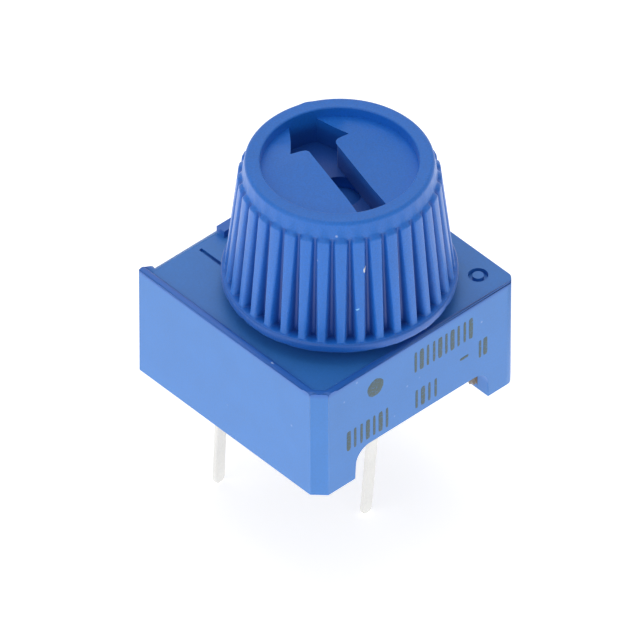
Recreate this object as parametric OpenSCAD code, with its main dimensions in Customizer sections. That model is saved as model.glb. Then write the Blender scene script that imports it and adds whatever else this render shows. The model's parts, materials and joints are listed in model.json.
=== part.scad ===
// Single-turn trimmer potentiometer: a square moulded housing on three flat terminals, with a
// fluted finger knob that turns the wiper over a ceramic element. Origin at the middle of the
// terminals, on the board it stands on. +Z is up, the front wall with the opening faces -Y.

/* [Housing] */
// Width of the housing, left to right
body_w = 9.53; // [9.3:0.01:12]
// Depth of the housing, front to back
body_d = 9.27; // [9.2:0.01:12]
// How far the housing's middle lies ahead of the terminals' middle
body_ahead = 0.2; // [0.1:0.01:0.25]
// Size of the flat cut on the front and right upright corners
corner_cut = 0.46; // [0.3:0.01:0.6]
// Height of the top face above the board
top_z = 4.5; // [4.3:0.01:5.5]
// Thickness of the side walls
wall = 0.5; // [0.4:0.01:0.6]
// Thickness of the top wall, which the rotor neck passes through
roof = 0.8; // [0.75:0.01:0.9]
// Width of the raised lip along the left and front edges
lip_w = 0.3; // [0.25:0.01:0.4]
// Height of that lip above the top face
lip_h = 0.22; // [0.19:0.01:0.4]
// Height of the lip's two long edges, between which its top is arched
lip_edge = 0.15; // [0.08:0.01:0.16]
// Width that is left of the front lip at its right end
lip_end_w = 0.12; // [0.08:0.01:0.2]
// Reach of the fillet that closes the left lip's back end
lip_fillet = 0.36; // [0.2:0.01:0.5]
// Rounding of the top face's back edge
back_r = 0.3; // [0.1:0.01:0.4]

/* [Front opening and feet] */
// Height of the opening at the foot of the front wall
arch_h = 1.3; // [0.9:0.01:1.35]
// Left end of the opening, from the middle
arch_left = 3.01; // [2.6:0.01:3.2]
// Right end of the opening, from the middle
arch_right = 3.25; // [2.6:0.01:3.4]
// Radius of the opening's upper corners
arch_r = 0.65; // [0.3:0.01:0.85]
// Depth of the two front feet, from the front wall's outside
foot_d = 1.07; // [0.8:0.01:1.2]

/* [Marks on the housing] */
// Width of the raised tab at the middle of the back edge
tab_w = 2.6; // [2:0.1:3.5]
// Thickness of the tab, front to back
tab_t = 0.4; // [0.3:0.01:0.6]
// Height of the tab above the top face
tab_h = 0.3; // [0.2:0.01:0.4]
// Distance of the tab from the housing's back
tab_inset = 0.24; // [0.1:0.01:0.3]
// Distance of the ring mark from the right side
ring_from_side = 0.865; // [0.7:0.01:1]
// Distance of the ring mark from the front
ring_from_front = 1.24; // [0.95:0.01:1.4]
// Outer radius of the ring mark
ring_r = 0.357; // [0.25:0.01:0.38]
// Radius of the dot left standing inside it
ring_dot_r = 0.2; // [0.1:0.01:0.23]
// Depth of the ring mark
ring_depth = 0.18; // [0.05:0.01:0.2]
// Distance of the straight groove from the middle, to the left
groove_x = 2.3; // [2:0.1:2.8]
// Width of the straight groove
groove_w = 0.14; // [0.1:0.01:0.2]
// Length of the straight groove, most of it under the knob
groove_len = 2; // [1:0.1:2.5]
// Distance of the groove's end from the housing's back
groove_inset = 0.5; // [0.4:0.01:0.7]
// Depth of the straight groove
groove_depth = 0.12; // [0.05:0.01:0.2]

/* [Element] */
// Height of the potting's underside above the board
epoxy_z = 1.4; // [1.35:0.01:1.5]
// Thickness of the potting under the ceramic plate
epoxy_t = 0.55; // [0.4:0.01:0.6]
// Thickness of the ceramic plate
substrate_t = 0.6; // [0.4:0.01:0.65]
// Thickness of the printed films on the plate
film_t = 0.04; // [0.03:0.01:0.05]
// Inner radius of the resistive track
track_r1 = 2.3; // [2.2:0.01:2.45]
// Outer radius of the resistive track
track_r2 = 3; // [2.85:0.01:3.1]
// Inner radius of the collector ring
collector_r1 = 0.35; // [0.2:0.01:0.45]
// Outer radius of the collector ring
collector_r2 = 1.2; // [1:0.01:1.35]
// Width of the conductor strips along the sides of the plate
strip_w = 0.5; // [0.3:0.01:0.6]
// Distance of the strips from the edge of the plate
strip_inset = 0.25; // [0.15:0.01:0.35]
// Film that shows round a solder joint
pad_rim = 0.08; // [0.04:0.01:0.1]
// Angle of the conductor under each end of the track, in degrees
end_pad = 16; // [10:1:18]
// Room round a solder joint, in the housing
solder_room = 0.12; // [0.08:0.01:0.2]

/* [Terminals] */
// Grid of the terminals, the distance from the middle to each
pin_pitch = 2.54; // [2.5:0.01:2.6]
// Width of a terminal blade
pin_w = 0.46; // [0.4:0.01:0.5]
// Thickness of a terminal blade
pin_t = 0.2; // [0.15:0.01:0.25]
// Length of the terminals below the board seat
pin_len = 5.15; // [3:0.01:6]
// Height of a terminal's end above the plate
pin_head = 0.2; // [0.1:0.01:0.22]
// Width of the shoulder that stops a terminal under the plate
shoulder_w = 0.9; // [0.7:0.01:1]
// Height of that shoulder
shoulder_h = 0.3; // [0.2:0.01:0.35]
// Radius of a solder joint where it wets the film
solder_r = 0.42; // [0.36:0.01:0.44]
// Height of a solder joint
solder_h = 0.24; // [0.15:0.01:0.26]

/* [Rotor] */
// Distance of the rotor axis in front of the terminals' middle
axis_front = 0.72; // [0.6:0.01:0.75]
// Direction of the arrow at rest, from +X towards +Y, in degrees
arrow_angle = 75.5; // [-50:0.1:230]
// Radius of the round chamber that the rotor turns in
chamber_r = 3.5; // [3.4:0.01:3.52]
// Radius of the rotor disc
disc_r = 2.75; // [2.6:0.01:2.78]
// Thickness of the rotor disc
disc_t = 0.6; // [0.4:0.01:0.65]
// Radius of the rotor neck in the roof
neck_r = 1.6; // [1.5:0.01:1.7]
// Radius of the seal groove's floor in the neck
seal_r = 1.15; // [1.05:0.01:1.2]
// Height of the seal groove
seal_h = 0.5; // [0.48:0.01:0.55]
// Radius of the spindle that carries the knob
spindle_r = 1.2; // [1.1:0.01:1.25]
// Distance across the spindle's two flats
spindle_flats = 1.9; // [1.8:0.01:2.1]
// Width of the driver slot in the spindle's end
driver_w = 0.35; // [0.2:0.01:0.5]
// Depth of the driver slot
driver_depth = 0.45; // [0.3:0.01:0.7]
// Turn of the rotor between its stops, in degrees
travel = 280; // [240:1:284]
// Half the angle that the stop lug on the rotor takes, in degrees
lug_half = 16; // [12:1:17]
// Inner radius of the stop block in the chamber
stop_r = 2.85; // [2.83:0.01:2.95]
// Radius of the stake that holds the wiper under the disc
stake_r = 0.35; // [0.25:0.01:0.38]

/* [Wiper] */
// Thickness of the wiper's sheet
wiper_t = 0.1; // [0.06:0.01:0.12]
// Number of contact fingers on the track
finger_count = 5; // [3:2:5]
// Width of one contact finger
finger_w = 0.17; // [0.1:0.01:0.2]
// Distance from one contact finger to the next
finger_pitch = 0.27; // [0.22:0.01:0.29]
// Length of the curled end of a finger
curl = 0.25; // [0.15:0.01:0.3]
// Height of that curled end
curl_lift = 0.14; // [0.08:0.01:0.16]
// Width of the two cross bars, along the arrow
wiper_bar = 0.3; // [0.2:0.01:0.35]
// Reach of the flat strip towards the track
wiper_reach = 1.2; // [0.9:0.01:1.5]
// Reach of the flat strip behind the axis
wiper_tail = 1.5; // [1.3:0.01:1.7]
// Width of the two inner contact tongues
tongue_w = 0.28; // [0.2:0.01:0.3]
// Distance of those tongues from the middle line
tongue_y = 0.6; // [0.5:0.01:0.7]
// Distance of their contact behind the axis
tongue_x = 0.25; // [0.1:0.01:0.4]
// Gap between a tongue and the flat strip
tongue_gap = 0.04; // [0.02:0.01:0.1]

/* [Knob] */
// Gap between the top face and the knob's underside
knob_gap = 0.5; // [0.45:0.01:0.9]
// Height of the knob
knob_h = 5.3; // [4.8:0.01:6.5]
// Radius of the flange at the knob's foot
flange_r = 4.13; // [4.05:0.01:4.4]
// Thickness of the flange
flange_t = 0.39; // [0.3:0.01:0.6]
// Slope on the flange's upper edge
flange_edge = 0.2; // [0.1:0.01:0.25]
// Small slope on the knob's other edges
knob_edge = 0.08; // [0.03:0.01:0.12]
// Number of ribs round the knob
rib_count = 36; // [30:1:40]
// Radius over the ribs at their foot
rib_foot_r = 4.01; // [3.9:0.01:4.03]
// Radius over the ribs at their top
rib_top_r = 3.53; // [3.48:0.01:3.6]
// Depth of the grooves between the ribs at their top
groove_top_depth = 0.15; // [0.08:0.01:0.16]
// Depth of those grooves at the flange
groove_foot_depth = 0.34; // [0.12:0.01:0.36]
// Width of a groove at its floor
groove_floor_w = 0.1; // [0.06:0.01:0.2]
// How much a groove widens from its floor to its mouth, for each unit of depth
groove_flare = 0.85; // [0.6:0.05:1]
// Direction of the first rib from the arrow, in degrees
rib_turn = 2.6; // [0:0.1:9.9]
// Height of the smooth band above the ribs
band_h = 0.63; // [0.5:0.01:0.9]
// How far that band stands back behind the grooves' floors
band_step = 0.02; // [0.01:0.01:0.05]
// Radius of the rim at the very top
rim_r = 3.31; // [3.2:0.01:3.36]
// Radius of the round recess in the top
dish_r = 2.755; // [2.6:0.01:2.85]
// Depth of that recess
dish_depth = 0.41; // [0.3:0.01:0.6]
// Wall of the knob round its hollow and its hub
knob_wall = 0.7; // [0.5:0.01:0.9]
// Floor that is left over the hollow, under the arrow slot
knob_floor = 0.8; // [0.6:0.01:1]
// Room over the spindle's end, under the slot
spindle_room = 0.5; // [0.4:0.01:0.6]

/* [Arrow slot] */
// Depth of the arrow slot below the recess
slot_depth = 1.08; // [0.6:0.01:1.3]
// Width of the arrow's shaft
shaft_w = 1.12; // [0.8:0.01:1.3]
// Width of the arrow's head across its barbs
barb_w = 2.38; // [2:0.01:2.6]
// Distance of the barbs ahead of the axis
barb_x = 1.46; // [1.3:0.01:1.6]
// How far the head's back edges fall behind the barbs
barb_sweep = 0.11; // [0:0.01:0.2]
// Half the angle of the arrow's point, in degrees
point_half = 27.7; // [22:0.1:35]
// Rounding where the shaft meets the head
notch_r = 0.17; // [0.05:0.01:0.2]
// Radius of the hole in the slot's floor that shows the spindle
sight_r = 0.8; // [0.5:0.01:0.95]

/* [Fits] */
// Clearance between pieces that stay together
fit = 0.03; // [0.02:0.01:0.06]
// Clearance round the rotor neck and between the wiper and the films
running = 0.04; // [0.02:0.01:0.08]
// Play of the rotor under the roof, and of its lug in the chamber
play = 0.06; // [0.04:0.01:0.1]

/* [Hidden] */
$fn = 64;

BLUE = [0.27, 0.46, 0.78];
TIN = [0.86, 0.86, 0.85];
eps = 0.01;
over = 1;
full_turn = 360;

// Outline of the housing and of the pocket under it
half_w = body_w / 2;
front_y = -body_d / 2 - body_ahead;
back_y = body_d / 2 - body_ahead;
pocket_x = half_w - wall;
pocket_front = front_y + wall;
pocket_back = back_y - wall;

// Heights, from the board up
plate_z = epoxy_z + epoxy_t;
plate_top = plate_z + substrate_t;
film_top = plate_top + film_t;
ledge_z = film_top + fit;
ceiling_z = top_z - roof;
disc_top = ceiling_z - play;
disc_z = disc_top - disc_t;
wiper_z = disc_z - wiper_t;
contact_z = film_top + running;
knob_z = top_z + knob_gap;
knob_top = knob_z + knob_h;
dish_z = knob_top - dish_depth;
slot_z = dish_z - slot_depth;
spindle_top = slot_z - spindle_room;

// Terminal feet: places on the grid, and how far each tip is bent aside
pins = [[-pin_pitch, pin_pitch], [0, -pin_pitch], [pin_pitch, pin_pitch]];
tip_shift = [[-0.27, -0.05], [-0.09, 0.37], [-0.2, 0.12]];

// The stops: the block stands opposite the middle of the travel, at the front
mid_angle = 90;
block_angle = mid_angle + 180;
stop_spare = 2;
block_half = (full_turn - travel) / 2 - lug_half - stop_spare;
track_half = travel / 2;

module on_axis(turn = 0) {
    translate([0, -axis_front, 0]) rotate(turn) children();
}

// Part of a flat ring, from angle a1 to angle a2
module ring_sector(r1, r2, a1, a2, z, h) {
    translate([0, 0, z]) rotate_extrude(angle = a2 - a1, start = a1)
        translate([r1, 0]) square([r2 - r1, h]);
}

// Outline of the housing: three upright corners are cut off, the left one at the back is square
module body_outline() {
    polygon([[-half_w, front_y + corner_cut], [-half_w + corner_cut, front_y],
        [half_w - corner_cut, front_y], [half_w, front_y + corner_cut],
        [half_w, back_y - corner_cut], [half_w - corner_cut, back_y], [-half_w, back_y]]);
}

// Section of the raised lip: 0 is the housing's outside, and its top is an arc
module lip_section() {
    rise = lip_h - lip_edge;
    arch_radius = (pow(lip_w / 2, 2) + pow(rise, 2)) / (2 * rise);
    translate([0, -wall]) square([lip_w, wall + lip_edge]);
    intersection() {
        translate([lip_w / 2, lip_h - arch_radius]) circle(r = arch_radius);
        square([lip_w, lip_h]);
    }
}

// A straight length of lip along +X, with its outside on y = 0
module lip_run(length) {
    rotate([90, 0, 90]) linear_extrude(length) lip_section();
}

// Two lips that meet in the cut corner; the front one narrows towards its right end
module lips() {
    diagonal = sqrt(2) * corner_cut;
    intersection() {
        linear_extrude(top_z + over) body_outline();
        difference() {
            union() {
                translate([-half_w, front_y, top_z]) lip_run(body_w);
                translate([-half_w, back_y, top_z]) rotate(-90) lip_run(body_d);
                translate([-half_w, front_y + corner_cut, top_z]) rotate(-45)
                    translate([-lip_w, 0, 0]) lip_run(diagonal + 2 * lip_w);
                translate([-half_w + lip_w, back_y, top_z - eps])
                    cylinder(r1 = lip_fillet, r2 = eps, h = lip_edge + eps);
            }
            translate([0, 0, top_z]) linear_extrude(over) polygon([
                [-half_w + corner_cut + lip_w, front_y + lip_w], [half_w, front_y + lip_end_w],
                [half_w + over, front_y + lip_end_w], [half_w + over, front_y + 2 * lip_w],
                [-half_w + corner_cut + lip_w, front_y + 2 * lip_w]]);
        }
    }
}

// Opening at the foot of the front wall, with two round upper corners
module arch() {
    length = arch_left + arch_right;
    translate([-arch_left, front_y - over, 0]) {
        translate([0, 0, -over]) cube([length, over + wall + eps, over + arch_h - arch_r]);
        translate([arch_r, 0, -over])
            cube([length - 2 * arch_r, over + wall + eps, over + arch_h]);
        for (x = [arch_r, length - arch_r]) translate([x, 0, arch_h - arch_r])
            rotate([-90, 0, 0]) cylinder(r = arch_r, h = over + wall + eps);
    }
}

// Room for the ceramic plate and the potting, open below, clear of the two front feet
module pocket() {
    difference() {
        translate([-pocket_x, pocket_front, -over])
            cube([2 * pocket_x, pocket_back - pocket_front, over + ledge_z]);
        feet(0);
    }
}

// The two front feet, up through the pocket, grown by a gap
module feet(gap) {
    for (x = [[-half_w, -arch_left + gap], [arch_right - gap, half_w]])
        translate([x[0], front_y, -2 * over]) cube([x[1] - x[0], foot_d + gap, 3 * over + top_z]);
}

// Room over the two back terminals' solder joints, open to the chamber
module solder_rooms() {
    room = solder_r + solder_room;
    for (i = [0, 2]) translate([pins[i][0] - room, pins[i][1] - room, 0])
        cube([2 * room, 2 * room, plate_top + solder_h + play]);
}

// What the rounding takes off the top face's back edge
module back_rounding() {
    translate([-half_w - over, back_y - back_r, top_z - back_r])
        rotate([90, 0, 90]) linear_extrude(body_w + 2 * over) difference() {
            square([back_r + over, back_r + over]);
            circle(r = back_r);
        }
}

module housing() {
    color(BLUE) difference() {
        union() {
            difference() {
                linear_extrude(top_z) body_outline();
                back_rounding();
            }
            lips();
            translate([-tab_w / 2, back_y - tab_inset - tab_t, top_z - back_r])
                cube([tab_w, tab_t, tab_h + back_r]);
        }
        pocket();
        arch();
        solder_rooms();
        difference() {
            on_axis() cylinder(r = chamber_r, h = ceiling_z);
            on_axis() ring_sector(stop_r, chamber_r + over, block_angle - block_half,
                block_angle + block_half, ledge_z, top_z);
        }
        on_axis() cylinder(r = neck_r + running, h = top_z + over);
        translate([half_w - ring_from_side, front_y + ring_from_front, top_z - ring_depth])
            difference() {
                cylinder(r = ring_r, h = over);
                cylinder(r = ring_dot_r, h = over);
            }
        translate([-groove_x - groove_w / 2, back_y - groove_inset - groove_len,
            top_z - groove_depth]) cube([groove_w, groove_len, over]);
    }
}

// The slot's outline points along +X: it runs out at the recess wall at both ends
module arrow_outline() {
    half = shaft_w / 2;
    barb = barb_w / 2;
    tip = barb_x + barb / tan(point_half);
    polygon([[-dish_r - over, -half], [barb_x - barb_sweep, -half], [barb_x, -barb], [tip, 0],
        [barb_x, barb], [barb_x - barb_sweep, half], [-dish_r - over, half]]);
    notch_rounding(half, barb - half);
    mirror([0, 1]) notch_rounding(half, barb - half);
}

// The bit of slot that rounds the corner between the shaft's side and the head's back edge
module notch_rounding(half, rise) {
    lean = atan(barb_sweep / rise);
    reach = notch_r * tan((90 - lean) / 2);
    corner = [barb_x - barb_sweep, half];
    difference() {
        polygon([corner + [0, -eps], corner + [-reach, -eps], corner + [-reach, 0],
            corner + reach * [sin(lean), cos(lean)], corner + reach * [sin(lean), cos(lean)] + [eps, 0]]);
        translate(corner + [-reach, notch_r]) circle(r = notch_r);
    }
}

// Profile of the knob's outside, from the axis out: flange, ribs' cone, shoulder, band, rim
module knob_profile() {
    rib_end = knob_h - band_h;
    band_r = rib_top_r - groove_top_depth - band_step;
    polygon([
        [0, 0], [flange_r - knob_edge, 0], [flange_r, knob_edge],
        [flange_r, flange_t - flange_edge], [rib_foot_r, flange_t],
        [rib_top_r, rib_end - groove_top_depth / 2], [rib_top_r - groove_top_depth / 3, rib_end],
        [band_r, rib_end],
        [rim_r, knob_h - knob_edge], [rim_r - knob_edge, knob_h],
        [0, knob_h]]);
}

// One groove between two ribs: a wedge-sided bar laid along the cone, floor inwards
module rib_groove() {
    foot = rib_foot_r - groove_foot_depth;
    top = rib_top_r - groove_top_depth;
    rise = knob_h - band_h - flange_t;
    lean = atan((foot - top) / rise);
    mouth = groove_floor_w / 2 + groove_flare / 2 * over;
    translate([foot, 0, flange_t]) rotate([0, -lean, 0]) linear_extrude(rise / cos(lean) + 2 * eps)
        polygon([[0, -groove_floor_w / 2], [over, -mouth], [over, mouth], [0, groove_floor_w / 2]]);
}

// Outline of the spindle, round with two flats
module spindle_outline(gap = 0) {
    intersection() {
        circle(r = spindle_r + gap);
        square([2 * spindle_r + 2 * over, spindle_flats + 2 * gap], center = true);
    }
}

module knob() {
    hub_r = spindle_r + knob_wall;
    hollow_h = slot_z - knob_floor - knob_z;
    pitch = full_turn / rib_count;
    color(BLUE) on_axis(arrow_angle) difference() {
        translate([0, 0, knob_z]) difference() {
            rotate_extrude() knob_profile();
            for (i = [0 : rib_count - 1]) rotate(rib_turn + (i + 0.5) * pitch) rib_groove();
            difference() {
                translate([0, 0, -eps]) cylinder(r1 = rib_foot_r - groove_foot_depth - knob_wall,
                    r2 = rib_top_r - groove_top_depth - knob_wall, h = hollow_h);
                cylinder(r = hub_r, h = hollow_h + over);
            }
        }
        translate([0, 0, dish_z]) cylinder(r = dish_r, h = over);
        intersection() {
            translate([0, 0, slot_z]) linear_extrude(slot_depth + over) arrow_outline();
            cylinder(r = dish_r, h = dish_z + eps);
        }
        cylinder(r = sight_r, h = slot_z + eps);
        linear_extrude(spindle_top + fit) spindle_outline(fit);
    }
}

module rotor() {
    seal_z = ceiling_z + (roof - seal_h) / 2;
    color("white") on_axis(arrow_angle) difference() {
        union() {
            translate([0, 0, disc_z]) cylinder(r = disc_r, h = disc_t);
            ring_sector(disc_r - over, chamber_r - play, -lug_half, lug_half, disc_z, disc_t);
            translate([0, 0, disc_z]) cylinder(r = neck_r, h = knob_z - disc_z);
            translate([0, 0, disc_z]) linear_extrude(spindle_top - disc_z) spindle_outline();
            translate([0, 0, wiper_z - wiper_t / 2]) cylinder(r = stake_r, h = disc_t);
        }
        ring_sector(seal_r, neck_r + over, 0, full_turn, seal_z, seal_h);
        translate([-over - spindle_r, -driver_w / 2, spindle_top - driver_depth])
            cube([2 * (over + spindle_r), driver_w, driver_depth + over]);
    }
}

// Round rubber ring that fills the groove between the neck and the roof
module seal_ring() {
    section_r = (neck_r + running - seal_r) / 2 - running / 2;
    color([0.1, 0.1, 0.1]) on_axis() translate([0, 0, ceiling_z + roof / 2])
        rotate_extrude() translate([seal_r + section_r, 0]) circle(r = section_r);
}

// A bent finger along +X: flat at its root, down to the contact, and curled up at its end
module finger(x0, x1, width) {
    translate([0, width / 2, 0]) rotate([90, 0, 0]) linear_extrude(width) polygon([
        [x0, wiper_z], [x1, contact_z], [x1 + curl, contact_z + curl_lift],
        [x1 + curl, contact_z + curl_lift + wiper_t], [x1, contact_z + wiper_t],
        [x0, wiper_z + wiper_t]]);
}

module wiper() {
    strip = 2 * (tongue_y - tongue_w / 2 - tongue_gap);
    front_w = (finger_count - 1) * finger_pitch + finger_w;
    back_w = 2 * tongue_y + tongue_w;
    touch = (track_r1 + track_r2) / 2;
    root = wiper_bar - wiper_tail - eps;
    color([0.78, 0.66, 0.36]) on_axis(arrow_angle) difference() {
        union() {
            translate([-wiper_tail, -back_w / 2, wiper_z]) cube([wiper_bar, back_w, wiper_t]);
            translate([-wiper_tail, -strip / 2, wiper_z])
                cube([wiper_tail + wiper_reach, strip, wiper_t]);
            translate([wiper_reach - wiper_bar, -front_w / 2, wiper_z])
                cube([wiper_bar, front_w, wiper_t]);
            for (i = [0 : finger_count - 1])
                translate([0, (i - (finger_count - 1) / 2) * finger_pitch, 0])
                    finger(wiper_reach - eps, touch, finger_w);
            for (y = [-1, 1]) translate([0, y * tongue_y, 0]) finger(root, -tongue_x, tongue_w);
        }
        cylinder(r = stake_r + fit, h = top_z);
    }
}

// A blade that stands in the plate, with its shoulder below and its lower part bent aside
module blade(i) {
    lean_x = asin(tip_shift[i][0] / pin_len);
    lean_y = asin(tip_shift[i][1] / pin_len);
    length = pin_len / cos(lean_x) / cos(lean_y);
    translate([pins[i][0], pins[i][1], 0]) {
        translate([-pin_w / 2, -pin_t / 2, 0]) cube([pin_w, pin_t, plate_top + pin_head]);
        translate([-shoulder_w / 2, -pin_t / 2, plate_z - shoulder_h])
            cube([shoulder_w, pin_t, shoulder_h]);
        rotate([lean_y, -lean_x, 0]) rotate([90, 0, 0]) linear_extrude(pin_t, center = true) {
            translate([-pin_w / 2, pin_w / 2 - length]) square([pin_w, length - pin_w / 2 + 2 * eps]);
            translate([0, pin_w / 2 - length]) circle(d = pin_w);
        }
    }
}

module terminal(i) {
    color(TIN) blade(i);
}

// Solder cone round the end of a terminal, on its film
module solder(i) {
    color([0.7, 0.7, 0.7]) difference() {
        translate([pins[i][0], pins[i][1], film_top])
            cylinder(r1 = solder_r, r2 = solder_r / 2, h = solder_h - film_t);
        blade(i);
    }
}

// Outline of the ceramic plate, notched at the front for the housing's two feet
module ceramic_plate() {
    x = pocket_x - fit;
    y0 = pocket_front + fit;
    color("ivory") difference() {
        translate([-x, y0, plate_z]) cube([2 * x, pocket_back - fit - y0, substrate_t]);
        feet(fit);
        for (p = pins) translate([p[0], p[1], plate_z])
            cube([pin_w + 2 * fit, pin_t + 2 * fit, 3 * substrate_t], center = true);
    }
}

module resistive_track() {
    color([0.15, 0.15, 0.15]) on_axis() ring_sector(track_r1, track_r2,
        mid_angle - track_half, mid_angle + track_half, plate_top, film_t);
}

module collector_film() {
    lead_w = 2 * solder_r;
    reach = pin_pitch - axis_front;
    color([0.75, 0.72, 0.62]) difference() {
        union() {
            on_axis() translate([0, 0, plate_top]) cylinder(r = collector_r2, h = film_t);
            on_axis() translate([-lead_w / 2, -reach, plate_top])
                cube([lead_w, reach - collector_r1, film_t]);
            translate([pins[1][0], pins[1][1], plate_top]) cylinder(r = solder_r + pad_rim, h = film_t);
        }
        on_axis() cylinder(r = collector_r1, h = top_z);
        blade(1);
    }
}

// Conductor from one end of the track, out and back along the side, to its corner terminal
module end_film(side) {
    pad = solder_r + pad_rim;
    x1 = pocket_x - fit - strip_inset;
    end_angle = mid_angle + track_half;
    mid_r = (track_r1 + track_r2) / 2;
    bar_y = -axis_front + mid_r * sin(end_angle + end_pad / 2) - strip_w / 2;
    bar_x = mid_r * cos(end_angle + end_pad / 2);
    color([0.75, 0.72, 0.62]) mirror([side > 0 ? 1 : 0, 0, 0]) difference() {
        union() {
            on_axis() ring_sector(track_r1, track_r2, end_angle, end_angle + end_pad, plate_top, film_t);
            difference() {
                union() {
                    translate([-x1, bar_y, plate_top]) cube([x1 + bar_x, strip_w, film_t]);
                    translate([-x1, bar_y, plate_top]) cube([strip_w, pins[0][1] + pad - bar_y, film_t]);
                    translate([-x1, pins[0][1] - pad, plate_top])
                        cube([x1 + pins[0][0] + pad, 2 * pad, film_t]);
                }
                on_axis() ring_sector(0, track_r2, mid_angle, end_angle, 0, top_z);
            }
        }
        blade_slot();
        feet(fit);
    }
}

// The upright part of the left back terminal, for the film's hole
module blade_slot() {
    translate([pins[0][0] - pin_w / 2, pins[0][1] - pin_t / 2, 0]) cube([pin_w, pin_t, top_z]);
}

// Resin that closes the housing below the plate, round the terminals
module potting() {
    color([0.3, 0.22, 0.16]) difference() {
        translate([-pocket_x, pocket_front, epoxy_z])
            cube([2 * pocket_x, pocket_back - pocket_front, epoxy_t]);
        feet(0);
        for (i = [0 : 2]) blade(i);
    }
}

housing();
knob();
rotor();
seal_ring();
wiper();
ceramic_plate();
resistive_track();
collector_film();
end_film(-1);  // end_film_1
end_film(1);  // end_film_3
terminal(0);  // terminal_1
terminal(1);  // terminal_2
terminal(2);  // terminal_3
solder(0);  // solder_1
solder(1);  // solder_2
solder(2);  // solder_3
potting();
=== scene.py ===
# %% [markdown]
# A trimmer potentiometer is a thumbnail-sized variable resistor that is soldered to a board. This
# one has a square blue housing, three flat tinned legs and a round finger knob with upright ribs.
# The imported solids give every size. This script dresses them: it rebuilds the knob and the legs as
# smooth numpy surfaces, rounds the housing's edges, and gives each piece a finish of its own.

# %% Load the frame
import json
import math
import bmesh
import bpy
import numpy as np
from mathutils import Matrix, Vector
from mathutils.geometry import delaunay_2d_cdt


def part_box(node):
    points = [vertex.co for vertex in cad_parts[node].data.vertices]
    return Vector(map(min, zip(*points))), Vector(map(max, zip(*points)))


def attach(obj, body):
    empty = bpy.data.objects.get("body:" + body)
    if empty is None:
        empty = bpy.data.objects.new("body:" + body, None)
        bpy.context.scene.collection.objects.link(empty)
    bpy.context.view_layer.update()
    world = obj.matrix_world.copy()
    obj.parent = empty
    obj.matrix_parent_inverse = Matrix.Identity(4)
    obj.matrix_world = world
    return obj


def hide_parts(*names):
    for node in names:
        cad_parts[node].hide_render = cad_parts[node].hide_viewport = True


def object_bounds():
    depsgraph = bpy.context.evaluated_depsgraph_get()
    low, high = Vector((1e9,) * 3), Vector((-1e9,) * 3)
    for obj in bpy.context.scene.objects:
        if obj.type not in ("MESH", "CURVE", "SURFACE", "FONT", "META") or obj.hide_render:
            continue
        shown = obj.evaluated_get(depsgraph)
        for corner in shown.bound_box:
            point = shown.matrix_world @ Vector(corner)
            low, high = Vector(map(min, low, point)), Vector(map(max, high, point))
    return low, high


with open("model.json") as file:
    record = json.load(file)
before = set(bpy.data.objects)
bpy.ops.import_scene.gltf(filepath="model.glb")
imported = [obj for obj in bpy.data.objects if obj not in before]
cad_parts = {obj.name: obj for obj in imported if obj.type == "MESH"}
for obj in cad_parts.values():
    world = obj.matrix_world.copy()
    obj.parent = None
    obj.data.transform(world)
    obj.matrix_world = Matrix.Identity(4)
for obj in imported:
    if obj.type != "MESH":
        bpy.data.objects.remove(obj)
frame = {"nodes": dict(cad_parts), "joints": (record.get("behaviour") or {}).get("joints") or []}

CAD_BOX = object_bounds()
MM = 0.001
print("pieces in the frame:", sorted(frame["nodes"]))

# %% [markdown]
# The knob and the rotor turn about one upright axis, which the frame's joint knows. At rest the
# arrow in the knob points 75.5 degrees round from the +X axis. The picture looks along a direction
# given by two angles. All lengths below are in mm, and they become metres only when a mesh is made.

# %% Places that the other cells share
joint = frame["joints"][0]
AXIS = np.array(joint["pos_m"][:2]) / MM
ARROW_TURN = math.radians(75.5)
VIEW_AZIMUTH, VIEW_ELEVATION = math.radians(42.6), math.radians(41.9)
knob_low, knob_high = (np.array(c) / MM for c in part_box("knob"))
house_low, house_high = (np.array(c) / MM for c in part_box("housing"))
floor_z = float(CAD_BOX[0][2])
print("axis at", AXIS, "knob from", knob_low[2], "to", knob_high[2], "mm")

# %% [markdown]
# Most new surfaces are grids: rows of points with quads between them. One helper lists the quads
# of a grid, and another joins several patches of points and faces into one mesh, merging the
# points that two patches share, so that the piece is closed.

# %% Grid and mesh helpers
def grid_quads(rows, cols, wrap):
    """Quads of a grid: point (r, c) is number r * cols + c; wrap joins the last column to the first."""
    r = np.arange(rows - 1)[:, None]
    c = np.arange(cols if wrap else cols - 1)[None, :]
    here, right = r * cols + c, r * cols + (c + 1) % cols
    return np.stack([here, right, right + cols, here + cols], axis=-1).reshape(-1, 4)


def build_mesh(name, patches, merge=1e-4):
    """Joins patches of (points in mm, faces) into one object and merges points closer than merge."""
    points, faces, start = [], [], 0
    for patch_points, patch_faces in patches:
        points.append(np.asarray(patch_points, dtype=float))
        faces += [[start + int(i) for i in face] for face in patch_faces]
        start += len(patch_points)
    mesh = bpy.data.meshes.new(name)
    mesh.from_pydata((np.concatenate(points) * MM).tolist(), [], faces)
    work = bmesh.new()
    work.from_mesh(mesh)
    bmesh.ops.remove_doubles(work, verts=work.verts, dist=merge * MM)
    bmesh.ops.dissolve_degenerate(work, edges=work.edges, dist=merge * MM / 10)
    open_edges = sum(1 for e in work.edges if len(e.link_faces) != 2)
    work.to_mesh(mesh)
    work.free()
    obj = bpy.data.objects.new(name, mesh)
    bpy.context.scene.collection.objects.link(obj)
    print(name, len(mesh.polygons), "faces,", open_edges, "edges not shared by two faces")
    return obj


def smooth(obj, sharp_deg):
    """Shades a piece smooth, but keeps edges sharper than sharp_deg crisp."""
    obj.data.polygons.foreach_set("use_smooth", [True] * len(obj.data.polygons))
    obj.data.set_sharp_from_angle(angle=math.radians(sharp_deg))


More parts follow.
